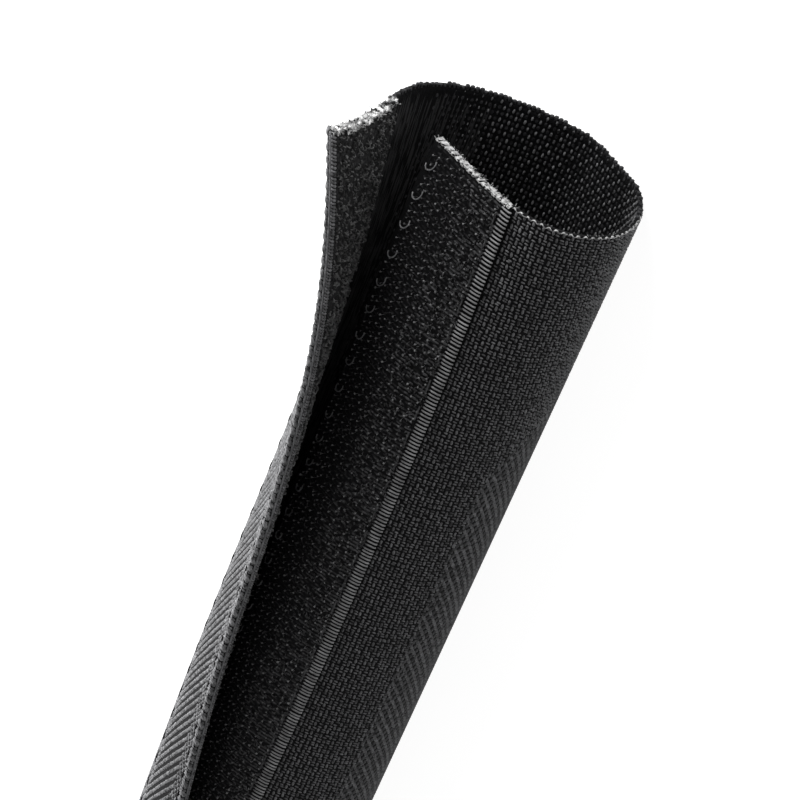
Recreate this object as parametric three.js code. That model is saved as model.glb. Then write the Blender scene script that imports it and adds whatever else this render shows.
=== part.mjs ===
// Wrap-around cable sleeve: one strip of woven cloth, rolled up along its length, with a hook tape
// sewn to the outside of its inner lap and a loop tape sewn to the inside of its flap.
// The mouth at +X is peeled open, as when cables go in, and the sleeve closes towards its far end.
// Millimetres, +Z up. +X runs along the sleeve to the mouth, and the sleeve lies on a flat strip
// whose middle is the origin.

import * as THREE from 'three';

const { clamp, lerp, smoothstep } = THREE.MathUtils;

// Sleeve and its cloth
const sleeveLength = 200;
const flatWidth = 108; // cut width of the cloth, from its hook edge round to its flap edge
const clothThickness = 0.8;

// Hook tape and loop tape
const tapeWidth = 16;
const tapeBase = 0.45; // woven ground of either tape
const hookHeight = 0.75;
const pileHeight = 0.7;
const tapeGap = 0.12; // between a tape and the cloth that it is sewn to
const facingGap = 0.45; // between the hook points and the loop pile where the sleeve is shut

// How the mouth is peeled open: each stretch of the cloth goes back to the rolled shape over its
// reach along the sleeve, the faster the higher its fade
const hookOpening = { reach: 62, fade: 1.8 };
const wallOpening = { reach: 94, fade: 4.4 };
const flapOpening = { reach: 178, fade: 1.33 };
const stretchBlend = 3; // half width of the change from one stretch to the next

// How the roll behind the mouth tightens from the loose turn to the shut one
const looseStartRadius = 13.65; // at the hook edge
const looseLapSpacing = 5;
const tighteningStart = 72; // distance from the mouth
const tighteningLength = 119;

// Flat strip that the soft roll lies on
const restShare = 0.48; // place of its middle, as a share of the wall between the two tapes
const restCornerRadius = 8;
const restCornerAngle = THREE.MathUtils.degToRad(31);

// Herringbone relief on the outside of the cloth
const ridgePitch = 6.6; // along the sleeve
const ridgeDepth = 0.3;
const ridgeZigzag = 1; // how far a ridge swings to each side on its way round
const columnWidth = 3.6; // widest allowed
const plainStrip = 11; // fine plain weave beside the hook tape, without ridges
const edgeScallop = 0.4;

// Hooks, pile and ribbed edge of the tapes
const hookRowPitch = 2.2; // along the sleeve
const hookRows = 6; // across the tape
const hookLean = 0.45;
const hookFieldStart = 1.5; // from the free edge of the tape
const seamChannelWidth = 1.2;
const ribbedBandWidth = 1.6;
const ribbedBandHeight = 0.5;
const ribDepth = 0.3;
const pilePitch = 3.2;
const pileColumns = 6;
const pileEdge = 1.4; // bare ground along each edge of the loop tape

// Sewing thread
const stitchLength = 4;
const threadRadius = 0.18;
const threadGap = 0.08; // under the dips of the thread
const stitchRise = 0.25;
const seamInset = 0.8; // from the free edge of a tape to the middle of its seam
const loopSeamInset = 1.6; // from the body edge of the loop tape to its seam

// Fineness of the smooth faces
const innerFaceStep = 10;
const tapeBackStep = 6;
const traceStep = 0.25;
const tiny = 1e-6; // for comparing places that come from different sums

// Radii of the shut roll: a spiral whose turns lie one lap apart
const lapSpacing = clothThickness + 2 * (tapeGap + tapeBase) + hookHeight + pileHeight + facingGap;
const shutGrowth = lapSpacing / (2 * Math.PI);
const looseGrowth = looseLapSpacing / (2 * Math.PI);
const rollRadius = (flatWidth - tapeWidth) / (2 * Math.PI);
const hookEndRadius = rollRadius - lapSpacing / 2;
const shutStartRadius = Math.sqrt(hookEndRadius ** 2 - 2 * shutGrowth * tapeWidth);

// Places round the cloth, measured from its hook edge
const wallWidth = flatWidth - 2 * tapeWidth;
const loopStart = flatWidth - tapeWidth;
const wallPlace = (share) => tapeWidth + share * wallWidth;
const restPlace = wallPlace(restShare);
const restHalfFlat = (rollRadius - restCornerRadius) * Math.sin(restCornerAngle);
const restHalfWidth = restHalfFlat + restCornerRadius * restCornerAngle;
const hookSeam = tapeWidth - ribbedBandWidth - seamChannelWidth / 2;

// Heights from the middle of the cloth: outwards for the cloth and the hook tape, inwards for the
// loop tape
const outerFace = clothThickness / 2;
const tapeBack = outerFace + tapeGap;
const tapeGround = tapeBack + tapeBase;

// Bends of the fully open mouth, as multiples of the bend of the rolled sleeve
const mouthBends = [
  { place: 0, bend: 0 }, // hook tape, nearly straight
  { place: 0.6 * tapeWidth, bend: 0.06 },
  { place: wallPlace(0.05), bend: 1.43 }, // tight shoulder beside the hook tape
  { place: wallPlace(0.21), bend: 1.23 },
  { place: wallPlace(0.55), bend: 0.42 }, // wall spread outwards
  { place: wallPlace(0.74), bend: 0.52 },
  { place: wallPlace(0.92), bend: 1.19 },
  { place: wallPlace(1.05), bend: -0.2 }, // loop tape standing up
  { place: flatWidth, bend: -0.82 }, // flap edge curling away
];

function mouthBend(place) {
  const next = Math.max(1, mouthBends.findIndex((mark) => place <= mark.place));
  const from = mouthBends[next - 1];
  const to = mouthBends[next];
  const share = (place - from.place) / (to.place - from.place);
  return lerp(from.bend, to.bend, share) / rollRadius;
}

function rolledBend(place, distance) {
  const tightened = smoothstep(distance, tighteningStart, tighteningStart + tighteningLength);
  const startRadius = lerp(looseStartRadius, shutStartRadius, tightened);
  const growth = lerp(looseGrowth, shutGrowth, tightened);
  return 1 / Math.sqrt(startRadius ** 2 + 2 * growth * place);
}

function openShare(place, distance) {
  const left = ({ reach, fade }) => Math.max(0, 1 - distance / reach) ** fade;
  const hook = 1 - smoothstep(place, tapeWidth - stretchBlend, tapeWidth + stretchBlend);
  const flap = smoothstep(place, loopStart - stretchBlend, loopStart + stretchBlend);
  const wall = 1 - hook - flap;
  return hook * left(hookOpening) + wall * left(wallOpening) + flap * left(flapOpening);
}

// Bend of the cloth at a place round it and at a distance from the mouth, in 1/mm
function bendAt(place, distance) {
  const fromRest = Math.abs(place - restPlace);
  if (fromRest < restHalfFlat) return 0;
  if (fromRest < restHalfWidth) return 1 / restCornerRadius;
  return lerp(rolledBend(place, distance), mouthBend(place), openShare(place, distance));
}

// Traces the middle of the cloth across the sleeve, then turns it so that it rests on its flat strip
function traceSection(distance) {
  const steps = Math.ceil(flatWidth / traceStep);
  const step = flatWidth / steps;
  const trace = [{ y: 0, z: 0, angle: 0 }];
  for (let i = 0; i < steps; i += 1) {
    const last = trace[i];
    const turn = bendAt((i + 0.5) * step, distance) * step;
    const heading = last.angle + turn / 2;
    trace.push({
      y: last.y + Math.cos(heading) * step,
      z: last.z + Math.sin(heading) * step,
      angle: last.angle + turn,
    });
  }
  const along = (place) => {
    const i = clamp(Math.floor(place / step), 0, steps - 1);
    const share = place / step - i;
    const [a, b] = [trace[i], trace[i + 1]];
    return {
      y: lerp(a.y, b.y, share),
      z: lerp(a.z, b.z, share),
      angle: lerp(a.angle, b.angle, share),
    };
  };
  const rest = along(restPlace);
  return (place) => {
    const { y, z, angle } = along(place);
    const [dy, dz] = [y - rest.y, z - rest.z];
    const [cos, sin] = [Math.cos(rest.angle), Math.sin(rest.angle)];
    return {
      y: dy * cos + dz * sin,
      z: dz * cos - dy * sin + outerFace,
      angle: angle - rest.angle,
    };
  };
}

const sections = new Map();

// Point on or beside the cloth: its place round the sleeve, its height outwards from the middle of
// the cloth, and its distance from the mouth
function pointAt(place, height, distance) {
  if (!sections.has(distance)) sections.set(distance, traceSection(distance));
  const { y, z, angle } = sections.get(distance)(place);
  return new THREE.Vector3(
    sleeveLength / 2 - distance,
    y + height * Math.sin(angle),
    z - height * Math.cos(angle),
  );
}

// Even steps from one value to another, none longer than the widest allowed
function evenly(from, to, widest) {
  const count = Math.max(1, Math.ceil((to - from) / widest - tiny));
  return Array.from({ length: count + 1 }, (_, i) => lerp(from, to, i / count));
}

// Even number of steps along the sleeve, so that a pattern of high and low ends as it starts
function pairedStations(step) {
  const pairs = Math.max(2, Math.round(sleeveLength / (2 * step)));
  return evenly(0, sleeveLength, sleeveLength / (2 * pairs));
}

function linesThrough(marks, widest) {
  const lines = marks.slice(1).flatMap((mark, i) => evenly(marks[i], mark, widest).slice(1));
  return [marks[0], ...lines];
}

const clothLines = linesThrough([
  0,
  tapeWidth,
  tapeWidth + plainStrip,
  restPlace - restHalfWidth,
  restPlace - restHalfFlat,
  restPlace + restHalfFlat,
  restPlace + restHalfWidth,
  loopStart,
  flatWidth,
], columnWidth);
const innerStations = evenly(0, sleeveLength, innerFaceStep);

// One row of points for each station, made by a function of the line and the station
function grid(stations, lines, point) {
  return stations.map((distance, i) => lines.map((place, j) => point(place, distance, j, i)));
}

// Joins an outer and an inner grid into one closed sheet, with a strip round its four edges
function sheetSolid(outer, inner) {
  const points = [];
  const indices = [];
  const numbered = (rows) => rows.map((row) => row.map((point) => points.push(point) - 1));
  const [out, back] = [numbered(outer), numbered(inner)];

  const addFace = (rows, addTriangle) => {
    for (let i = 0; i + 1 < rows.length; i += 1) {
      for (let j = 0; j + 1 < rows[i].length; j += 1) {
        addTriangle(rows[i][j], rows[i + 1][j], rows[i][j + 1]);
        addTriangle(rows[i + 1][j], rows[i + 1][j + 1], rows[i][j + 1]);
      }
    }
  };
  addFace(out, (a, b, c) => indices.push(a, b, c));
  addFace(back, (a, b, c) => indices.push(a, c, b));

  const addStrip = (a, b) => {
    let [i, k] = [0, 0];
    while (i + 1 < a.length || k + 1 < b.length) {
      const aNext = (i + 1) / (a.length - 1);
      const bNext = (k + 1) / (b.length - 1);
      if (aNext <= bNext) {
        indices.push(a[i + 1], a[i], b[k]);
        i += 1;
      } else {
        indices.push(b[k], b[k + 1], a[i]);
        k += 1;
      }
    }
  };
  const firstColumn = (rows) => rows.map((row) => row[0]);
  const lastColumn = (rows) => rows.map((row) => row.at(-1)).reverse();
  addStrip(firstColumn(out), firstColumn(back));
  addStrip(lastColumn(out), lastColumn(back));
  addStrip([...out[0]].reverse(), [...back[0]].reverse());
  addStrip(out.at(-1), back.at(-1));

  return new THREE.BufferGeometry().setFromPoints(points).setIndex(indices);
}

// Woven cloth, with zigzag herringbone ridges on its outside and a scalloped flap edge
function wovenBody() {
  const hasRidges = (place) => place > tapeWidth + plainStrip + tiny
    && place < flatWidth
    && Math.abs(place - restPlace) > restHalfFlat + tiny;
  const outerStations = pairedStations(ridgePitch / 2);
  const outer = grid(outerStations, clothLines, (place, distance, j, i) => {
    const inside = i > 0 && i < outerStations.length - 1;
    const low = i % 2 === 1;
    const ridged = hasRidges(place);
    const swing = ridged && inside ? ridgeZigzag * (j % 2 ? 1 : -1) : 0;
    const height = outerFace - (ridged && low ? ridgeDepth : 0);
    const scallop = place === flatWidth && low ? edgeScallop : 0;
    return pointAt(place - scallop, height, distance + swing);
  });
  const inner = grid(innerStations, clothLines, (place, distance) => (
    pointAt(place, -outerFace, distance)
  ));
  return sheetSolid(outer, inner);
}

// Tape with leaning hooks, a channel for its seam and a ribbed band along its body edge
function hookTape() {
  const fieldEnd = tapeWidth - ribbedBandWidth - seamChannelWidth;
  const hookLines = evenly(hookFieldStart, fieldEnd, (fieldEnd - hookFieldStart) / hookRows);
  const bandStart = tapeWidth - ribbedBandWidth;
  const bandMiddle = tapeWidth - ribbedBandWidth / 2;
  const lines = [0, ...hookLines, bandStart, bandMiddle, tapeWidth];

  const front = grid(pairedStations(hookRowPitch), lines, (place, distance, j, i) => {
    const inField = place > hookFieldStart && place < fieldEnd - tiny;
    if (inField && (i + j) % 2 === 0) {
      const lean = hookLean * (j % 2 ? 1 : -1);
      return pointAt(place + lean, tapeGround + hookHeight, distance);
    }
    if (place === bandMiddle) {
      const rib = ribbedBandHeight - (i % 2 ? ribDepth : 0);
      return pointAt(place, tapeGround + rib, distance);
    }
    return pointAt(place, tapeGround, distance);
  });
  const backLines = clothLines.filter((place) => place <= tapeWidth + tiny);
  const back = grid(evenly(0, sleeveLength, tapeBackStep), backLines, (place, distance) => (
    pointAt(place, tapeBack, distance)
  ));
  return sheetSolid(front, back);
}

// Tape with tufts of loop pile on its inside
function loopTape() {
  const pileStart = loopStart + pileEdge;
  const pileEnd = flatWidth - pileEdge;
  const pileLines = evenly(pileStart, pileEnd, (pileEnd - pileStart) / pileColumns);
  const lines = [loopStart, ...pileLines, flatWidth];

  const pile = grid(pairedStations(pilePitch), lines, (place, distance, j, i) => {
    const inPile = place > pileStart && place < pileEnd - tiny;
    const tuft = inPile && (i + j) % 2 === 0 ? pileHeight : 0;
    return pointAt(place, -tapeGround - tuft, distance);
  });
  const backLines = clothLines.filter((place) => place >= loopStart - tiny);
  const back = grid(innerStations, backLines, (place, distance) => (
    pointAt(place, -tapeBack, distance)
  ));
  return sheetSolid(back, pile);
}

// One row of stitches: a three-sided thread that rises and dips along a line of the sleeve
function seam(place, surface) {
  const low = surface + threadGap + threadRadius / 2;
  const points = [];
  const indices = [];
  const stations = pairedStations(stitchLength / 2);
  stations.forEach((distance, i) => {
    const height = low + (i % 2 ? stitchRise : 0);
    points.push(
      pointAt(place - threadRadius, height - threadRadius / 2, distance),
      pointAt(place, height + threadRadius, distance),
      pointAt(place + threadRadius, height - threadRadius / 2, distance),
    );
  });
  for (let i = 0; i + 1 < stations.length; i += 1) {
    for (let side = 0; side < 3; side += 1) {
      const a = 3 * i + side;
      const b = 3 * i + (side + 1) % 3;
      indices.push(a, a + 3, b, b, a + 3, b + 3);
    }
  }
  const end = points.length - 3;
  indices.push(0, 1, 2, end, end + 2, end + 1);
  return new THREE.BufferGeometry().setFromPoints(points).setIndex(indices);
}

const clothMaterial = new THREE.MeshStandardMaterial({ color: 0x38383a, roughness: 0.9 });
const hookMaterial = new THREE.MeshStandardMaterial({ color: 0x18181a, roughness: 0.6 });
const loopMaterial = new THREE.MeshStandardMaterial({ color: 0x1c1c1e, roughness: 1 });
const threadMaterial = new THREE.MeshStandardMaterial({ color: 0x77777a, roughness: 0.6 });

const sleeve = new THREE.Group();

function addPiece(name, geometry, material) {
  geometry.computeVertexNormals();
  const piece = new THREE.Mesh(geometry, material);
  piece.name = name;
  sleeve.add(piece);
}

addPiece('woven_body', wovenBody(), clothMaterial);
addPiece('hook_tape', hookTape(), hookMaterial);
addPiece('loop_tape', loopTape(), loopMaterial);
addPiece('hook_seam_inner', seam(hookSeam, tapeGround), threadMaterial);
addPiece('hook_seam_edge', seam(seamInset, tapeGround), threadMaterial);
addPiece('loop_seam_inner', seam(loopStart + loopSeamInset, outerFace), threadMaterial);
addPiece('loop_seam_edge', seam(flatWidth - seamInset, outerFace), threadMaterial);

export default sleeve;
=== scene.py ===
import math

import bpy
import numpy as np
from mathutils import Matrix, Vector


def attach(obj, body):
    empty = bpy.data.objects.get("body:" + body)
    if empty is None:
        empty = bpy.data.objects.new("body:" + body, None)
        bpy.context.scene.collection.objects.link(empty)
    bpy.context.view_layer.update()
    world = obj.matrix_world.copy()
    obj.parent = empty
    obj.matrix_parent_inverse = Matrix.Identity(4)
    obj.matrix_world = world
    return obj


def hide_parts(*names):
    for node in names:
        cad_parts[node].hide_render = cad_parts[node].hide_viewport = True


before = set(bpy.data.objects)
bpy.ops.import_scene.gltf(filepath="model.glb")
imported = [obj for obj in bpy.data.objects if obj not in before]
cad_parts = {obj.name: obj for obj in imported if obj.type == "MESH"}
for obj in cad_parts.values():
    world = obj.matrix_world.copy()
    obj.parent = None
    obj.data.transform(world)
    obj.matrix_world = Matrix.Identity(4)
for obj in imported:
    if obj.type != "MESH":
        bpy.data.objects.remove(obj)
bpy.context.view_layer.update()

rng = np.random.default_rng(7)

# The cloth's shape, as in the part's source: millimetres, a place round the cloth measured from its
# hook edge, a height outwards from the middle of the cloth and a distance from the mouth.
# In the weaves, s is a place and d is a distance. The radius of a tube is in metres.

LENGTH = 200.0
FLAT_WIDTH = 108.0
TAPE_WIDTH = 16.0
CLOTH_THICKNESS = 0.8
TAPE_BASE = 0.45
TAPE_GAP = 0.12
HOOK_HEIGHT = 0.75
PILE_HEIGHT = 0.7
FACING_GAP = 0.45
LOOP_START = FLAT_WIDTH - TAPE_WIDTH
WALL_WIDTH = FLAT_WIDTH - 2 * TAPE_WIDTH

HOOK_OPENING = (62, 1.8)
WALL_OPENING = (94, 4.4)
FLAP_OPENING = (178, 1.33)
STRETCH_BLEND = 3
LOOSE_START_RADIUS = 13.65
LOOSE_LAP_SPACING = 5
TIGHTENING_START = 72
TIGHTENING_LENGTH = 119

ROLL_RADIUS = (FLAT_WIDTH - TAPE_WIDTH) / (2 * math.pi)
LAP_SPACING = (
    CLOTH_THICKNESS
    + 2 * (TAPE_GAP + TAPE_BASE)
    + HOOK_HEIGHT
    + PILE_HEIGHT
    + FACING_GAP
)
SHUT_GROWTH = LAP_SPACING / (2 * math.pi)
LOOSE_GROWTH = LOOSE_LAP_SPACING / (2 * math.pi)
SHUT_START_RADIUS = math.sqrt(
    (ROLL_RADIUS - LAP_SPACING / 2) ** 2 - 2 * SHUT_GROWTH * TAPE_WIDTH
)

REST_PLACE = TAPE_WIDTH + 0.48 * WALL_WIDTH
REST_CORNER_RADIUS = 8
REST_CORNER_ANGLE = math.radians(31)
REST_HALF_FLAT = (ROLL_RADIUS - REST_CORNER_RADIUS) * math.sin(REST_CORNER_ANGLE)
REST_HALF_WIDTH = REST_HALF_FLAT + REST_CORNER_RADIUS * REST_CORNER_ANGLE

MOUTH_BENDS = [
    (0, 0),
    (0.6 * TAPE_WIDTH, 0.06),
    (TAPE_WIDTH + 0.05 * WALL_WIDTH, 1.43),
    (TAPE_WIDTH + 0.21 * WALL_WIDTH, 1.23),
    (TAPE_WIDTH + 0.55 * WALL_WIDTH, 0.42),
    (TAPE_WIDTH + 0.74 * WALL_WIDTH, 0.52),
    (TAPE_WIDTH + 0.92 * WALL_WIDTH, 1.19),
    (TAPE_WIDTH + 1.05 * WALL_WIDTH, -0.2),
    (FLAT_WIDTH, -0.82),
]

PLACE_STEPS = 432
DISTANCE_STEPS = 200


def smoothstep(x, low, high):
    t = np.clip((x - low) / (high - low), 0, 1)
    return t * t * (3 - 2 * t)


def bend(place, distance):
    """Bend of the cloth at a place and a distance from the mouth, in 1/mm."""

    def left(opening):
        reach, fade = opening
        return np.maximum(0, 1 - distance / reach) ** fade

    hook = 1 - smoothstep(place, TAPE_WIDTH - STRETCH_BLEND, TAPE_WIDTH + STRETCH_BLEND)
    flap = smoothstep(place, LOOP_START - STRETCH_BLEND, LOOP_START + STRETCH_BLEND)
    wall = 1 - hook - flap
    share = (
        hook * left(HOOK_OPENING) + wall * left(WALL_OPENING) + flap * left(FLAP_OPENING)
    )
    marks, bends = zip(*MOUTH_BENDS)
    mouth = np.interp(place, marks, bends) / ROLL_RADIUS
    tightened = smoothstep(distance, TIGHTENING_START, TIGHTENING_START + TIGHTENING_LENGTH)
    start = LOOSE_START_RADIUS + (SHUT_START_RADIUS - LOOSE_START_RADIUS) * tightened
    growth = LOOSE_GROWTH + (SHUT_GROWTH - LOOSE_GROWTH) * tightened
    rolled = 1 / np.sqrt(start**2 + 2 * growth * place)
    free = rolled + (mouth - rolled) * share
    from_rest = np.abs(place - REST_PLACE)
    resting = np.where(from_rest < REST_HALF_FLAT, 0, 1 / REST_CORNER_RADIUS)
    return np.where(from_rest < REST_HALF_WIDTH, resting, free)


def trace_sections():
    """Y, Z and angle of the middle of the cloth, one row for each distance from the mouth."""
    step = FLAT_WIDTH / PLACE_STEPS
    places = np.arange(PLACE_STEPS) * step + step / 2
    distances = np.linspace(0, LENGTH, DISTANCE_STEPS + 1)[:, None]
    turns = bend(places[None, :], distances) * step
    angles = np.concatenate(
        [np.zeros_like(distances), np.cumsum(turns, axis=1)], axis=1
    )
    headings = angles[:, :-1] + turns / 2

    def summed(steps):
        sums = np.cumsum(steps * step, axis=1)
        return np.concatenate([np.zeros_like(distances), sums], axis=1)

    y, z = summed(np.cos(headings)), summed(np.sin(headings))
    marks = np.linspace(0, FLAT_WIDTH, PLACE_STEPS + 1)

    def at_rest(table):
        return np.array([[np.interp(REST_PLACE, marks, row)] for row in table])

    y, z, turned = y - at_rest(y), z - at_rest(z), at_rest(angles)
    cos, sin = np.cos(turned), np.sin(turned)
    return np.stack(
        [y * cos + z * sin, z * cos - y * sin + CLOTH_THICKNESS / 2, angles - turned],
        axis=-1,
    )


SECTIONS = trace_sections()


def on_cloth(place, height, distance):
    """Points on or beside the cloth, in metres. The three arrays are in millimetres."""
    place, height, distance = np.broadcast_arrays(
        np.asarray(place, float), np.asarray(height, float), np.asarray(distance, float)
    )
    row = np.clip(distance / LENGTH * DISTANCE_STEPS, 0, DISTANCE_STEPS)
    column = np.clip(place / FLAT_WIDTH * PLACE_STEPS, 0, PLACE_STEPS)
    i = np.minimum(row.astype(int), DISTANCE_STEPS - 1)
    j = np.minimum(column.astype(int), PLACE_STEPS - 1)
    u, v = (row - i)[..., None], (column - j)[..., None]
    near = SECTIONS[i, j] * (1 - v) + SECTIONS[i, j + 1] * v
    far = SECTIONS[i + 1, j] * (1 - v) + SECTIONS[i + 1, j + 1] * v
    y, z, angle = np.moveaxis(near * (1 - u) + far * u, -1, 0)
    past = place - np.clip(place, 0, FLAT_WIDTH)
    return 0.001 * np.stack(
        [
            LENGTH / 2 - distance,
            y + height * np.sin(angle) + past * np.cos(angle),
            z - height * np.cos(angle) + past * np.sin(angle),
        ],
        axis=-1,
    )


# Materials


def material(name, colour, roughness, sheen=0.0, specular=0.5, grain=None, mottle=None):
    """A cloth or thread. grain is (scale in 1/m, depth in m) of its fine bump, and mottle is
    (scale in 1/m, darkest and lightest share of the colour)."""
    made = bpy.data.materials.new(name)
    made.use_nodes = True
    nodes, links = made.node_tree.nodes, made.node_tree.links
    shader = nodes["Principled BSDF"]
    shader.inputs["Base Color"].default_value = (*colour, 1)
    shader.inputs["Roughness"].default_value = roughness
    shader.inputs["Sheen Weight"].default_value = sheen
    shader.inputs["Sheen Roughness"].default_value = 0.4
    shader.inputs["Specular IOR Level"].default_value = specular
    place = nodes.new("ShaderNodeTexCoord")

    def noise(scale, detail):
        node = nodes.new("ShaderNodeTexNoise")
        node.inputs["Scale"].default_value = scale
        node.inputs["Detail"].default_value = detail
        links.new(place.outputs["Object"], node.inputs["Vector"])
        return node

    if mottle:
        scale, low, high = mottle
        ramp = nodes.new("ShaderNodeMapRange")
        ramp.inputs["From Min"].default_value = 0.3
        ramp.inputs["From Max"].default_value = 0.7
        ramp.inputs["To Min"].default_value = low
        ramp.inputs["To Max"].default_value = high
        links.new(noise(scale, 2).outputs["Fac"], ramp.inputs["Value"])
        mix = nodes.new("ShaderNodeVectorMath")
        mix.operation = "SCALE"
        mix.inputs[0].default_value = colour
        links.new(ramp.outputs["Result"], mix.inputs["Scale"])
        links.new(mix.outputs["Vector"], shader.inputs["Base Color"])
    if grain:
        scale, depth = grain
        bump = nodes.new("ShaderNodeBump")
        bump.inputs["Distance"].default_value = depth
        bump.inputs["Strength"].default_value = 1
        links.new(noise(scale, 3).outputs["Fac"], bump.inputs["Height"])
        links.new(bump.outputs["Normal"], shader.inputs["Normal"])
    return made


# Near-black ground under the floats: painted shade in the gaps between them.
GROUND = material("cloth_ground", (0.003, 0.003, 0.0034), 0.8, specular=0.08, grain=(2500, 0.0002))
YARN = material(
    "cloth_yarn",
    (0.12, 0.12, 0.124),
    0.45,
    sheen=0.1,
    specular=0.15,
    grain=(5000, 0.00005),
    mottle=(1500, 0.15, 1.9),
)
DARK_YARN = material(
    "dark_yarn",
    (0.03, 0.03, 0.032),
    0.6,
    specular=0.1,
    grain=(5000, 0.00005),
    mottle=(1500, 0.2, 1.9),
)
# Dim yarn of the strip beside the loop tape: painted shade.
SHADE_STREAK_YARN = material("shade_streak_yarn", (0.034, 0.034, 0.035), 0.7, specular=0.08)
INNER_YARN = material(
    "inner_yarn",
    (0.15, 0.15, 0.154),
    0.45,
    specular=0.15,
    grain=(5000, 0.00005),
    mottle=(1200, 0.05, 1.9),
)
# Near-black ground of the hook tape: painted shade between its hooks and ribs.
TAPE = material("tape_ground", (0.003, 0.003, 0.0034), 0.8, specular=0.08, grain=(2500, 0.0002))
TAPE_RIB = material("tape_rib", (0.016, 0.016, 0.017), 0.5, specular=0.1, mottle=(900, 0.1, 1.9))
GROOVE_YARN = material(
    "groove_yarn",
    (0.05, 0.05, 0.052),
    0.5,
    specular=0.1,
    grain=(5000, 0.00005),
    mottle=(1500, 0.2, 1.8),
)
TAPE_SIDE_RIB = material(
    "tape_side_rib", (0.055, 0.055, 0.057), 0.45, specular=0.15, mottle=(900, 0.1, 1.9)
)
HOOK = material("hook_thread", (0.18, 0.18, 0.183), 0.35, specular=0.2, mottle=(800, 0.1, 1.9))
HOOK_BITS = material(
    "hook_thread_bits", (0.06, 0.06, 0.062), 0.4, specular=0.2, mottle=(800, 0.1, 1.9)
)
PILE = material("pile_fibre", (0.11, 0.11, 0.1103), 0.5, specular=0.12, mottle=(800, 0.1, 1.8))
# The band's light colour is painted sheen on its ribs.
BAND = material("band_thread_painted_sheen", (0.27, 0.27, 0.275), 0.4, specular=0.2, mottle=(700, 0.6, 1.4))
PILE_GROUND = material(
    "pile_ground",
    (0.018, 0.018, 0.0185),
    0.8,
    specular=0.08,
    grain=(2200, 0.0004),
    mottle=(2600, 0.1, 2),
)
CORD = material("cord_thread", (0.14, 0.14, 0.145), 0.45, specular=0.15, mottle=(900, 0.6, 1.4))
STITCH = material("stitch_thread", (0.05, 0.05, 0.052), 0.5, specular=0.15, mottle=(1500, 0.3, 1.8))
LOOP = material("loop_thread", (0.25, 0.25, 0.256), 0.4, specular=0.2, mottle=(900, 0.6, 1.3))
DARK_STITCH = material(
    "dark_thread", (0.006, 0.006, 0.0065), 0.7, specular=0.1, grain=(4000, 0.00006)
)
# The pale colours of the cuts and their fibres are painted highlights of light along the cut edges.
CUT = material(
    "cut_edge_painted_highlight", (0.62, 0.62, 0.62), 0.6, specular=0.2, grain=(3000, 0.0001), mottle=(1500, 0.3, 1.25)
)
FRAY = material("frayed_cut_painted_highlight", (0.8, 0.8, 0.8), 0.6, specular=0.2, mottle=(1100, -0.4, 1.5))


# Pieces


def piece(name, points, faces, surface, slot, replaced=()):
    """A visible piece of the sleeve, with the solids that it stands in for."""
    mesh = bpy.data.meshes.new(name)
    points, faces = np.asarray(points, float).reshape(-1, 3), np.asarray(faces)
    mesh.from_pydata(points.tolist(), [], faces.tolist())
    mesh.polygons.foreach_set("use_smooth", np.ones(len(faces), bool))
    mesh.update()
    made = bpy.data.objects.new(name, mesh)
    bpy.context.scene.collection.objects.link(made)
    mesh.materials.append(surface)
    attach(made, "root")
    if replaced:
        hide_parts(*replaced)
    return made


def numbered_faces(faces, count, points_each):
    """The faces of one shape, repeated for count shapes of points_each points."""
    faces = np.asarray(faces)
    starts = np.arange(count)[:, None, None] * points_each
    return (faces[None] + starts).reshape(-1, faces.shape[1])


def tubes(paths, radius, sides=4, closed_ends=True):
    """Round threads along paths, an array of (threads, points, xyz) in metres."""
    count, steps = paths.shape[:2]
    radius = np.broadcast_to(np.asarray(radius, float), (count, steps))
    ahead = np.gradient(paths, axis=1)
    ahead /= np.linalg.norm(ahead, axis=-1, keepdims=True)
    chord = paths[:, -1] - paths[:, 0]
    middle = paths[:, steps // 2] - (paths[:, 0] + paths[:, -1]) / 2
    normal = np.cross(chord, middle + 1e-9)
    flat = np.linalg.norm(normal, axis=-1) < 1e-10
    normal[flat] = np.cross(chord[flat], [0.3, 0.5, 0.8])
    side = normal[:, None] - (normal[:, None] * ahead).sum(-1, keepdims=True) * ahead
    side /= np.linalg.norm(side, axis=-1, keepdims=True)
    other = np.cross(ahead, side)
    turn = 2 * math.pi * np.arange(sides) / sides
    ring = (
        side[:, :, None] * np.cos(turn)[:, None]
        + other[:, :, None] * np.sin(turn)[:, None]
    )
    points = paths[:, :, None] + ring * radius[:, :, None, None]
    faces = []
    for i in range(steps - 1):
        for k in range(sides):
            a, b = i * sides + k, i * sides + (k + 1) % sides
            faces += [(a, b, b + sides), (a, b + sides, a + sides)]
    if closed_ends:
        last = (steps - 1) * sides
        for k in range(1, sides - 1):
            faces += [(0, k + 1, k), (last, last + k, last + k + 1)]
    return points.reshape(-1, 3), numbered_faces(faces, count, steps * sides)


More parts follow.
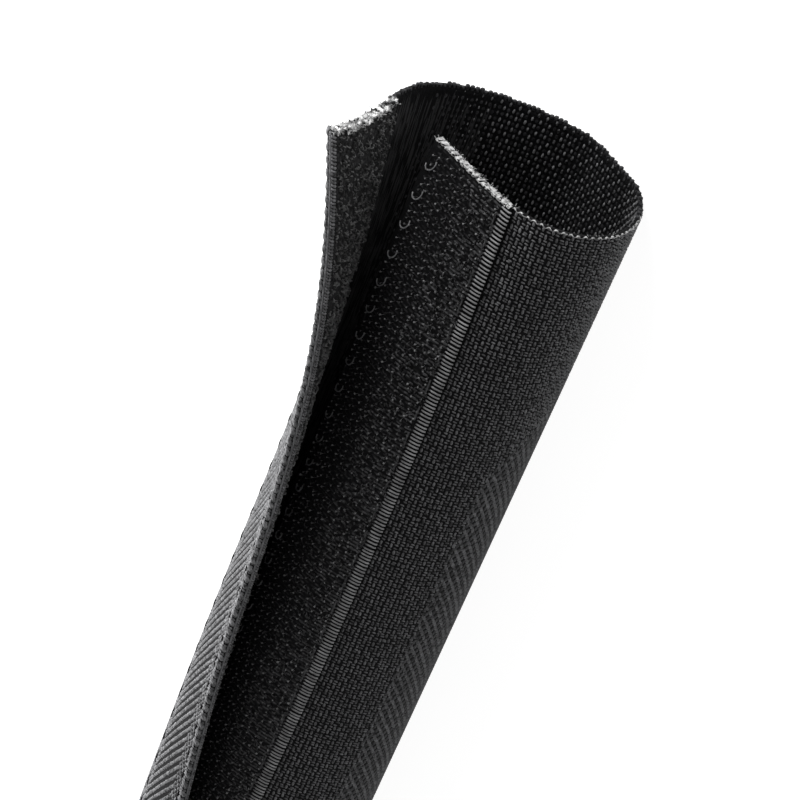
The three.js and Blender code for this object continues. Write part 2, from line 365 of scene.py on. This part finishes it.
def pads(place, distance, height, along, half_length, half_width, rise):
    """Woven floats: small raised pads on the cloth. along is their direction in (place, distance)."""
    place, distance = np.asarray(place, float), np.asarray(distance, float)
    count = len(place)
    along = np.broadcast_to(np.asarray(along, float), (count, 2))
    long = np.array([1, 0.5, -0.5, -1, -0.5, 0.5, 0.5, -0.5]) * half_length
    wide = np.array([0, 1, 1, 0, -1, -1, 0, 0]) * half_width
    up = np.array([0, 0, 0, 0, 0, 0, 1, 1]) * rise
    s = place[:, None] + long * along[:, :1] - wide * along[:, 1:]
    d = distance[:, None] + long * along[:, 1:] + wide * along[:, :1]
    points = on_cloth(s, height + up, d)
    faces = np.array(
        [
            (0, 1, 6),
            (1, 2, 7),
            (1, 7, 6),
            (2, 3, 7),
            (3, 4, 7),
            (4, 5, 6),
            (4, 6, 7),
            (5, 0, 6),
        ]
    )
    if height > 0:
        faces = faces[:, ::-1]
    return points.reshape(-1, 3), numbered_faces(faces, count, 8)


def joined(*parts):
    """One mesh of several, each given as its points and faces."""
    points, faces, start = [], [], 0
    for p, f in parts:
        points.append(p)
        faces.append(f + start)
        start += len(p)
    return np.concatenate(points), np.concatenate(faces)


def slab(lines, low, high, step=1.0):
    """A closed sheet between two heights over the lines (places) and the whole length."""
    stations = np.arange(0, LENGTH + step / 2, step)
    d, s = np.meshgrid(stations, lines, indexing="ij")
    outer, inner = on_cloth(s, high, d), on_cloth(s, low, d)
    rows, columns = d.shape
    index = np.arange(rows * columns).reshape(rows, columns)
    a, b, c, e = index[:-1, :-1], index[1:, :-1], index[1:, 1:], index[:-1, 1:]
    top = np.stack([a, b, c, e], -1).reshape(-1, 4)
    shift = rows * columns
    rim = np.concatenate(
        [index[0, :-1], index[:-1, -1], index[-1, :0:-1], index[:0:-1, 0]]
    )
    after = np.roll(rim, -1)
    wall = np.stack([rim, after, after + shift, rim + shift], -1)
    faces = np.concatenate([top, top[:, ::-1] + shift, wall])
    return np.concatenate([outer.reshape(-1, 3), inner.reshape(-1, 3)]), faces


# Woven cloth

RIDGE_START = TAPE_WIDTH + 11
RIDGE_DELAY = 15
RIDGE_DELAY_FADES = (22, 46)
RIDGE_TEETH = 0.4
END_PITCH, PICK_PITCH = 0.35, 0.47
END_PAIR, PICK_PAIR = 2 * END_PITCH, 2 * PICK_PITCH
REPEAT = 2 * PICK_PAIR
CLOTH_FACE = 0.3
FLOAT_RISE = 0.22
END_MARGIN = 0.6

cloth = piece(
    "woven_cloth",
    *slab(np.linspace(0, FLAT_WIDTH, 121), -CLOTH_FACE, CLOTH_FACE),
    GROUND,
    "cloth",
    ["woven_body"],
)


def jittered(*values, spread=0.03):
    """The values, each moved by a small random amount."""
    return [v + rng.normal(0, spread, v.shape) for v in values]


def ridge_start(distance):
    """The place where the ridges begin: further round the cloth near the mouth, and in small
    teeth, so that ridges and plain weave run into each other."""
    teeth = RIDGE_TEETH * np.sin(math.pi * distance / PICK_PAIR)
    return RIDGE_START + RIDGE_DELAY * (1 - smoothstep(distance, *RIDGE_DELAY_FADES)) + teeth


def basket_weave(start, end):
    """Plain weave of doubled yarns beside the hook tape: one broad lengthwise float and two
    crosswise ones by turns, in a chequer."""
    s, d = np.meshgrid(
        np.arange(start + END_PAIR / 2, end, END_PAIR),
        np.arange(PICK_PAIR / 2, LENGTH - 0.3, PICK_PAIR),
        indexing="ij",
    )
    i, j = np.indices(s.shape)
    kept, lengthwise = s < ridge_start(d), (i + j) % 2 == 0
    ends, picks = kept & lengthwise, kept & ~lengthwise
    a, b = jittered(s[ends], d[ends], spread=0.05)
    parts = [
        pads(
            a, b, CLOTH_FACE, along=(0.08, 1), half_length=0.44, half_width=0.18, rise=FLOAT_RISE
        )
    ]
    for side in (-0.25, 0.25):
        a, b = jittered(s[picks], d[picks] + side * PICK_PAIR, spread=0.05)
        parts.append(
            pads(
                a, b, CLOTH_FACE, along=(1, 0.1), half_length=0.34, half_width=0.13, rise=FLOAT_RISE
            )
        )
    return joined(*parts)


def twill(start, end, slant):
    """Lengthwise floats in pairs, each pair half a repeat on from its neighbour, so that they
    line up in slanted ridges, and the lower floats in the grooves between them. slant is 1 where
    a ridge goes away from the mouth round the cloth."""
    columns = round((end - start) / END_PAIR)
    pitch = (end - start) / columns
    s, d = np.meshgrid(
        start + (np.arange(columns) + 0.5) * pitch,
        np.arange(0.5, LENGTH / REPEAT) * REPEAT,
        indexing="ij",
    )
    d = d + slant * (np.indices(s.shape)[0] % 2) * PICK_PAIR

    def floats(place, distance, half_width, rise):
        a, b = jittered(place, np.clip(distance % LENGTH, END_MARGIN, LENGTH - END_MARGIN))
        kept = a > ridge_start(b)
        return pads(
            a[kept],
            b[kept],
            CLOTH_FACE,
            along=(0, 1),
            half_length=0.45,
            half_width=half_width,
            rise=rise,
        )

    pair = [
        floats(
            s + side * 0.235 * pitch,
            d + side * slant * 0.45 * PICK_PITCH,
            half_width=0.16,
            rise=FLOAT_RISE,
        )
        for side in (-1, 1)
    ]
    return joined(*pair), floats(s, d + PICK_PAIR, half_width=0.28, rise=0.1)


BASKET_START = TAPE_WIDTH + 0.45
BASKET_END = RIDGE_START + RIDGE_DELAY + 1
piece("basket_weave", *basket_weave(BASKET_START, BASKET_END), YARN, "cloth")

# Fields of ridges: eight of one width, four of them on the body, and a narrow one at the flap's
# edge. The grooves are filled on the body alone, since the flap's are dark: there the near-black ground,
# painted shade, shows.
BODY_FIELDS = 4
field_marks = [*np.linspace(RIDGE_START, FLAT_WIDTH - 3, 9), FLAT_WIDTH - 0.2]
fields = [
    twill(start, end, 1 if n % 2 == 0 else -1)
    for n, (start, end) in enumerate(zip(field_marks, field_marks[1:]))
]
ridges, grooves = zip(*fields)
piece("herringbone_weave", *joined(*ridges[:BODY_FIELDS]), YARN, "cloth")
piece("flap_side_weave", *joined(*ridges[BODY_FIELDS:]), YARN, "cloth")
piece("herringbone_grooves", *joined(*grooves[:BODY_FIELDS]), GROOVE_YARN, "cloth")

# Inside of the cloth

# Towards the loop tape the inner floats shrink away, and only the near-black ground and dim streaks show:
# painted shade beside the loop tape.
INNER_END = 82
SHADE_FADE = 12
STREAKS = 3600


def near_ends(place, distance, mouth_reach, far_start):
    """The places within mouth_reach of the mouth or past far_start, where the inside shows."""
    seen = (distance < mouth_reach) | (distance > far_start)
    return place[seen], distance[seen]


s, d = np.meshgrid(
    np.arange(0.6, INNER_END, END_PAIR),
    np.arange(END_MARGIN, LENGTH - 2 * END_MARGIN, REPEAT),
    indexing="ij",
)
s, d = jittered(s, d + (np.indices(d.shape)[0] % 2) * PICK_PAIR, spread=0.05)
s, d = near_ends(s, d, 80, 165)
# The floats shrink to nothing towards the loop tape, as painted shade there.
size = (1 - smoothstep(s, INNER_END - SHADE_FADE, INNER_END))[:, None]
piece(
    "inner_weave",
    *pads(
        s,
        d,
        -CLOTH_FACE,
        along=(0, 1),
        half_length=0.42 * size,
        half_width=0.17 * size,
        rise=-0.2 * size,
    ),
    INNER_YARN,
    "cloth",
)
s, d = jittered(s, (d + PICK_PAIR) % LENGTH, spread=0.05)
s, d = near_ends(s, d, 50, 180)
d = np.clip(d, END_MARGIN, LENGTH - END_MARGIN)
piece(
    "inner_low_weave",
    *pads(s, d, -CLOTH_FACE, along=(1, 0), half_length=0.25, half_width=0.3, rise=-0.08),
    DARK_YARN,
    "cloth",
)
# Dim streaks in the strip beside the loop tape, part of its painted shade.
s = rng.uniform(INNER_END - 9, LOOP_START, STREAKS)
d = rng.uniform(2.2, LENGTH - 2.2, STREAKS)
piece(
    "inner_shade_streaks",
    *pads(s, d, -CLOTH_FACE, along=(0, 1), half_length=1.9, half_width=0.1, rise=-0.05),
    SHADE_STREAK_YARN,
    "cloth",
)

# Hook tape

HOOK_BACK = CLOTH_THICKNESS / 2 + TAPE_GAP
HOOK_GROUND = HOOK_BACK + TAPE_BASE
HOOK_PITCH, HOOK_ROW_PITCH, HOOK_STAGGER = 1.15, 1.05, 0.52
BAND_START = TAPE_WIDTH - 1.2
BAND_END = TAPE_WIDTH + 0.35
RIB_PITCH = 0.59
TAPE_LINES = 22

piece(
    "hook_tape_ground",
    *slab(np.linspace(0, TAPE_WIDTH, TAPE_LINES), CLOTH_FACE + 0.05, HOOK_GROUND),
    TAPE,
    "hook_tape",
    ["hook_tape"],
)


def hooks():
    """Bent plastic threads with thick heads, which stand on the tape and lean both ways."""
    s, d = np.meshgrid(
        np.arange(1.6, BAND_START - 0.5, HOOK_PITCH),
        np.arange(0.5, LENGTH, HOOK_ROW_PITCH),
        indexing="ij",
    )
    i, j = np.indices(s.shape)
    d = d + HOOK_STAGGER * (i % 2)
    keep = d < LENGTH - END_MARGIN
    s, d, way = s[keep], d[keep], np.where((i + j) % 2 == 0, 1.0, -1.0)[keep]
    s, d = jittered(s, d, spread=0.13)
    swing = rng.normal(0, 0.6, s.shape)
    tall = HOOK_HEIGHT * rng.uniform(0.75, 1.1, s.shape)
    size = rng.uniform(0.6, 1.15, s.shape)
    out = np.array([0.0, 0.01, 0.03, 0.08, 0.14, 0.17])
    up = np.array([-0.1, 0.5, 0.8, 1.0, 0.97, 0.85])
    thickness = np.array([0.02, 0.02, 0.07, 0.17, 0.18, 0.08]) * 0.001
    across, rise = out * way[:, None], up * tall[:, None]
    paths = on_cloth(
        s[:, None] + across * np.cos(swing)[:, None],
        HOOK_GROUND + rise,
        d[:, None] + across * np.sin(swing)[:, None],
    )
    return tubes(paths, thickness[None] * size[:, None], sides=3)


def thread_bits(count, start, end):
    """Short bits of hook thread close to the ground, most of them towards the ribbed band."""
    s = start + (end - start) * np.sqrt(rng.uniform(0, 1, count))
    d = rng.uniform(0.4, LENGTH - 0.4, count)
    way = rng.uniform(0, math.pi, count)
    share = np.linspace(-1, 1, 3)[None]
    half = rng.uniform(0.1, 0.22, count)[:, None]
    paths = on_cloth(
        s[:, None] + half * share * np.cos(way)[:, None],
        HOOK_GROUND + 0.12 * (1 - share**2) + rng.uniform(0, 0.35, count)[:, None],
        d[:, None] + half * share * np.sin(way)[:, None],
    )
    return tubes(paths, 0.00009, sides=3)


def tape_ribs():
    """Crosswise floats all over the tape's ground."""
    s, d = np.meshgrid(
        np.arange(1.2, BAND_START - 1.0, 1.35), np.arange(0.6, LENGTH - 0.4, 0.58), indexing="ij"
    )
    s, d = jittered(s + (np.indices(s.shape)[1] % 2) * 0.67, d, spread=0.06)
    return pads(
        s.ravel(),
        d.ravel(),
        HOOK_GROUND - 0.03,
        along=(1, 0.1),
        half_length=0.6,
        half_width=0.17,
        rise=0.12,
    )


def band_ribs(drop, rise, slant, radius):
    """Threads side by side across the band at the tape's edge, low at both ends."""
    d = np.arange(0.5, LENGTH - slant - 0.2, RIB_PITCH)[:, None]
    d = d + rng.normal(0, 0.03, d.shape)
    share = np.linspace(0, 1, 6)[None]
    arch = np.clip(3 * np.sin(math.pi * share), 0, 1)
    paths = on_cloth(
        BAND_START + (BAND_END - BAND_START) * share + 0 * d,
        HOOK_GROUND - drop + rise * arch,
        d + slant * share,
    )
    return tubes(paths, radius, sides=6)


def side_ribs(count, reach):
    """Short crosswise floats of the tape's ground, closest together towards the ribbed band."""
    s = BAND_START - 0.3 - reach * rng.uniform(0, 1, count) ** 1.7
    rows = rng.integers(1, int((LENGTH - 0.6) / RIB_PITCH), count)
    d = rows * RIB_PITCH + rng.normal(0, 0.04, count)
    return pads(s, d, HOOK_GROUND, along=(1, 0), half_length=0.38, half_width=0.14, rise=0.14)


def edge_loops(spacing):
    """Loops of hook thread that stick out of the tape near the lap's edge."""
    turn = np.linspace(-0.1, 1.05, 9) * math.pi
    across, down = np.cos(turn)[None], np.sin(turn)[None]
    starts = np.arange(3, LENGTH - 2, spacing)[:, None]
    starts = starts + rng.normal(0, 0.15, starts.shape)
    paths = on_cloth(
        1.3 - 0.8 * across + 0.35 * down,
        HOOK_GROUND + 0.15 + 0.15 * down,
        starts + 0.65 * across + 0.7 * down,
    )
    return tubes(paths, 0.0001, sides=5)


piece("hooks", *hooks(), HOOK, "hook_tape")
piece("hook_thread_bits", *thread_bits(3000, 1.4, BAND_START), HOOK_BITS, "hook_tape")
piece("hook_tape_ribs", *tape_ribs(), TAPE_RIB, "hook_tape")
# The band's light thread colour is painted sheen on the ribs.
piece(
    "ribbed_band",
    *band_ribs(drop=0.1, rise=0.16, slant=0.05, radius=0.00014),
    BAND,
    "hook_tape",
)
piece("band_side_ribs", *side_ribs(2600, 6.5), TAPE_SIDE_RIB, "hook_tape")
piece("edge_loops", *edge_loops(4.6), LOOP, "thread")

# Loop tape

LOOP_BACK = -(CLOTH_THICKNESS / 2 + TAPE_GAP)
LOOP_GROUND = LOOP_BACK - TAPE_BASE


def curls(count, start, end, radius, thickness, lifted):
    """Fine curled fibres of the loop pile, lifted by up to so much from the tape's ground."""
    s = rng.uniform(start, end, count)
    d = rng.uniform(0.4, LENGTH - 0.4, count)
    way = rng.uniform(0, 2 * math.pi, count)
    lean = rng.normal(0, 0.5, count)
    size = rng.uniform(0.6, 1.3, count) * radius
    turn = np.linspace(-0.1, 1.1, 4) * math.pi
    flat, up = np.cos(turn)[None] * size[:, None], (np.sin(turn)[None] + 0.2) * size[:, None]
    height = LOOP_GROUND - (rng.uniform(0, lifted, count)[:, None] + up)
    aside = up * lean[:, None]
    paths = on_cloth(
        s[:, None] + flat * np.cos(way)[:, None] - aside * np.sin(way)[:, None],
        height,
        d[:, None] + flat * np.sin(way)[:, None] + aside * np.cos(way)[:, None],
    )
    return tubes(paths, thickness, sides=3, closed_ends=False)


piece(
    "loop_tape_ground",
    *slab(np.linspace(LOOP_START, FLAT_WIDTH, TAPE_LINES), LOOP_GROUND, -CLOTH_FACE - 0.05),
    PILE_GROUND,
    "loop_tape",
    ["loop_tape"],
)
piece(
    "loop_pile",
    *curls(
        7200, LOOP_START + 0.5, FLAT_WIDTH - 0.6, radius=0.19, thickness=0.0001, lifted=0.35
    ),
    PILE,
    "loop_tape",
)

# Edge of the flap


def edge_wraps(pitch, length, low, high, past, thickness, sides=5):
    """Threads wrapped round the flap's edge, from one height to another."""
    d = np.arange(0.5, LENGTH - 0.4, pitch)[:, None]
    d = d + rng.normal(0, 0.06 * pitch, d.shape)
    share = np.linspace(0, 1, 6)[None]
    out = np.sin(math.pi * share)
    paths = on_cloth(
        FLAT_WIDTH - 0.5 + (0.5 + past) * out + 0 * d,
        high + (low - high) * share,
        d + length * (share - 0.5),
    )
    return tubes(paths, thickness, sides=sides)


share = np.linspace(0, 1, 401)[None]
cord_paths = on_cloth(FLAT_WIDTH + 0.05, -0.48 + 0 * share, share * LENGTH)
piece("flap_cord", *tubes(cord_paths, 0.00016, sides=6), CORD, "cloth")
piece(
    "flap_selvedge",
    *joined(
        edge_wraps(1.65, 0.9, low=-0.38, high=0.36, past=0.12, thickness=0.00032),
        edge_wraps(0.55, 0.5, low=-0.38, high=0.36, past=0.02, thickness=0.0002, sides=4),
    ),
    YARN,
    "cloth",
)
piece(
    "loop_selvedge",
    *edge_wraps(0.45, 0.3, low=-1.0, high=-0.55, past=-0.02, thickness=0.0002),
    YARN,
    "loop_tape",
)

# Stitches


def stitches(name, place, surface, length, spacing, radius, look, node):
    """One row of sewing stitches in place of the seam's solid, on a surface at a height. The
    radius is in millimetres."""
    middles = np.arange(spacing / 2 + 0.5, LENGTH - length / 2 - 0.3, spacing)
    share = np.linspace(0, 1, 6)[None]
    paths = on_cloth(
        place + 0 * middles[:, None] * share,
        surface + radius * (1.2 * np.sin(math.pi * share) - 0.5),
        middles[:, None] + length * (share - 0.5),
    )
    piece(name, *tubes(paths, 0.001 * radius, sides=6), look, "thread", [node])


FLAP_SURFACE = 0.42
for name, *row in (
    ("hook_stitches", BAND_START - 0.4, HOOK_GROUND + 0.1, 2.4, 4.5, 0.12, STITCH, "hook_seam_inner"),
    ("hook_edge_stitches", 0.8, HOOK_GROUND, 2.4, 4.9, 0.12, DARK_STITCH, "hook_seam_edge"),
    ("loop_stitches", LOOP_START + 1.6, FLAP_SURFACE, 2.6, 4.4, 0.14, DARK_STITCH, "loop_seam_inner"),
    ("loop_edge_stitches", FLAT_WIDTH - 0.9, FLAP_SURFACE, 2.4, 4.4, 0.12, DARK_STITCH, "loop_seam_edge"),
):
    stitches(name, *row)

# Cut ends

CUT_INSET = 0.1
# The pale cut rim, a painted highlight, stops here; round the rest of the cloth the dark yarn ends show.
CUT_HIGHLIGHT_END = 40


def cut_rim(distance, outward, start, end, low, high, wave, reach, lumps):
    """The melted edge of a cut, with small waves and lumps. Its pale colour is a painted highlight of
    light along the cut.
    """
    sides = 6
    s = np.arange(start, end, 0.2)
    waves = wave * np.sin(2 * math.pi * s / 1.07 + np.cumsum(rng.normal(0, 0.25, len(s))))
    turn = 2 * math.pi * np.arange(sides) / sides
    middle, half = (low + high) / 2, (high - low) / 2
    lift = np.cos(turn)[None] * half + rng.normal(0, lumps, (len(s), sides))
    ahead = np.sin(turn)[None] * reach + waves[:, None] + rng.normal(0, lumps, (len(s), sides))
    points = on_cloth(s[:, None], middle + lift + 0.5 * waves[:, None], distance - outward * ahead)
    rows = np.arange(len(s) - 1)[:, None] * sides
    k = np.arange(sides)[None]
    a, b = rows + k, rows + (k + 1) % sides
    faces = np.concatenate(
        [np.stack([a, b, b + sides], -1), np.stack([a, b + sides, a + sides], -1)]
    )
    return points.reshape(-1, 3), faces.reshape(-1, 3)


def yarn_ends(distance, outward, start, end):
    """Dark ends of the lengthwise yarns in small bunches, which make the rim uneven."""
    s = np.arange(start, end, 0.71)
    s = s + rng.normal(0, 0.08, s.shape)
    long = rng.uniform(0.25, 0.7, s.shape)
    share = np.linspace(0, 1, 4)[None]
    paths = on_cloth(
        s[:, None] + 0.1 * share,
        -0.05 + 0 * s[:, None] * share,
        distance - outward * (share * long[:, None] - 0.2),
    )
    return tubes(paths, 0.00033, sides=6)


def fray(count, distance, outward, start, end, low, high, longest):
    """Fine fibres that stand out of a cut, from one height to another."""
    s = rng.uniform(start, end, count)
    height = rng.uniform(low, high, count)
    long = rng.uniform(0.15, longest, count)
    share = np.linspace(0, 1, 4)[None]
    lean = rng.normal(0, 0.3, (2, count, 1)) * share**2
    paths = on_cloth(
        s[:, None] + lean[0],
        height[:, None] + lean[1],
        distance - outward * (share * long[:, None] - 0.1),
    )
    return tubes(paths, 0.00004, sides=3, closed_ends=False)


# The pale rims and fibres of the cuts are painted highlights.
for name, *cut in (("mouth", CUT_INSET, 1), ("far", LENGTH - CUT_INSET, -1)):
    piece(
        f"{name}_cut_edge_painted_highlight",
        *joined(
            cut_rim(*cut, TAPE_WIDTH, CUT_HIGHLIGHT_END, 0.1, 0.4, wave=0.18, reach=0.09, lumps=0.025),
            cut_rim(*cut, 0.1, TAPE_WIDTH, -0.3, 0.5, wave=0.06, reach=0.16, lumps=0.07),
            cut_rim(*cut, 0.1, TAPE_WIDTH, 0.3, 1.05, wave=0.06, reach=0.16, lumps=0.07),
        ),
        CUT,
        "cloth",
    )
    piece(
        f"{name}_flap_cut",
        *joined(
            cut_rim(*cut, LOOP_START, FLAT_WIDTH, -0.4, 0.4, wave=0.18, reach=0.25, lumps=0.1),
            cut_rim(*cut, LOOP_START, FLAT_WIDTH, -1.1, -0.5, wave=0.18, reach=0.25, lumps=0.1),
            fray(500, *cut, LOOP_START, FLAT_WIDTH, -1.3, 0.4, longest=0.7),
        ),
        FRAY,
        "cloth",
    )
    piece(
        f"{name}_yarn_ends",
        *yarn_ends(*cut, CUT_HIGHLIGHT_END - 1, LOOP_START),
        DARK_YARN,
        "cloth",
    )
    piece(
        f"{name}_fray",
        *joined(
            fray(260, *cut, 0, TAPE_WIDTH, -0.3, 1.0, longest=0.4),
            fray(60, *cut, TAPE_WIDTH, CUT_HIGHLIGHT_END, 0.0, 0.4, longest=0.3),
        ),
        CUT,
        "cloth",
    )

# Floor, light and camera


def seen_directly(nodes, links):
    """1 for rays of the camera, of gloss and through glass, and 0 for light that is spread."""
    ray = nodes.new("ShaderNodeLightPath")
    either = ray.outputs["Is Camera Ray"]
    for kind in ("Is Glossy Ray", "Is Transmission Ray"):
        both = nodes.new("ShaderNodeMath")
        both.operation = "MAXIMUM"
        links.new(either, both.inputs[0])
        links.new(ray.outputs[kind], both.inputs[1])
        either = both.outputs["Value"]
    return either


def white_floor(glow_strength, shown_colour, colour):
    """White to the camera, with a faint shadow, and a plain pale floor to everything else."""
    made = bpy.data.materials.new("floor")
    made.use_nodes = True
    nodes, links = made.node_tree.nodes, made.node_tree.links
    nodes.clear()
    out = nodes.new("ShaderNodeOutputMaterial")
    plain = nodes.new("ShaderNodeBsdfDiffuse")
    plain.inputs["Color"].default_value = (colour,) * 3 + (1,)
    shown = nodes.new("ShaderNodeBsdfDiffuse")
    shown.inputs["Color"].default_value = (shown_colour,) * 3 + (1,)
    glow = nodes.new("ShaderNodeEmission")
    glow.inputs["Strength"].default_value = glow_strength
    both = nodes.new("ShaderNodeAddShader")
    links.new(shown.outputs[0], both.inputs[0])
    links.new(glow.outputs[0], both.inputs[1])
    mix = nodes.new("ShaderNodeMixShader")
    links.new(seen_directly(nodes, links), mix.inputs["Fac"])
    links.new(plain.outputs[0], mix.inputs[1])
    links.new(both.outputs[0], mix.inputs[2])
    links.new(mix.outputs[0], out.inputs["Surface"])
    return made


bpy.ops.mesh.primitive_plane_add(size=6)
floor = bpy.context.active_object
floor.name = "floor"
floor.data.materials.append(white_floor(glow_strength=0.955, shown_colour=0.3, colour=0.8))

# The world is white where it is seen, and dim as a light
scene = bpy.context.scene
world = bpy.data.worlds.new("world")
scene.world = world
world.use_nodes = True
nodes, links = world.node_tree.nodes, world.node_tree.links
ground = nodes["Background"]
ground.inputs["Color"].default_value = (1, 1, 1, 1)
strength = nodes.new("ShaderNodeMapRange")
strength.inputs["To Min"].default_value = 0.2
strength.inputs["To Max"].default_value = 1.0
links.new(seen_directly(nodes, links), strength.inputs["Value"])
links.new(strength.outputs["Result"], ground.inputs["Strength"])

# Camera: axes of its view, then its place from the middle of the mouth, in metres
MOUTH_MIDDLE = Vector((0.1, 0, 0.0154))
VIEW_SHIFT_RIGHT, VIEW_SHIFT_UP, VIEW_DISTANCE = -0.01843, -0.03145, 0.618
LENS, SENSOR = 202.2, 36
roll, tilt, lean = math.radians(23.61), math.radians(33.62), math.radians(41.97)
along = Vector((1, 0, 0))
across = Vector((0, math.cos(lean), math.sin(lean)))
upward = Vector((0, -math.sin(lean), math.cos(lean)))
raised = math.cos(tilt) * along - math.sin(tilt) * upward
right = -math.cos(roll) * across + math.sin(roll) * raised
up = math.sin(roll) * across + math.cos(roll) * raised
back = math.sin(tilt) * along + math.cos(tilt) * upward
camera = bpy.data.objects.new("camera", bpy.data.cameras.new("camera"))
scene.collection.objects.link(camera)
camera.data.lens = LENS
camera.data.sensor_width = SENSOR
place = MOUTH_MIDDLE + VIEW_SHIFT_RIGHT * right + VIEW_SHIFT_UP * up + VIEW_DISTANCE * back
camera.matrix_world = Matrix.Translation(place) @ Matrix(
    (
        (right.x, up.x, back.x, 0),
        (right.y, up.y, back.y, 0),
        (right.z, up.z, back.z, 0),
        (0, 0, 0, 1),
    )
)
scene.camera = camera


LIT_POINT = Vector((0.05, 0, 0.02))
LAMP_DISTANCE = 0.9


def area_light(name, towards, size, power):
    """A square lamp in the direction given in the camera's axes (right, up, back)."""
    lamp = bpy.data.lights.new(name, "AREA")
    lamp.shape = "SQUARE"
    lamp.size = size
    lamp.energy = power
    made = bpy.data.objects.new(name, lamp)
    scene.collection.objects.link(made)
    way = (towards[0] * right + towards[1] * up + towards[2] * back).normalized()
    made.location = LIT_POINT + way * LAMP_DISTANCE
    made.rotation_euler = way.to_track_quat("Z", "Y").to_euler()


area_light("key_left", (-1.0, 0.35, -0.2), size=0.5, power=16)
area_light("top_front", (-0.35, 0.9, 0.6), size=0.35, power=6)
area_light("right_edge", (0.9, 0.1, -0.3), size=0.5, power=3)

scene.view_settings.view_transform = "Standard"
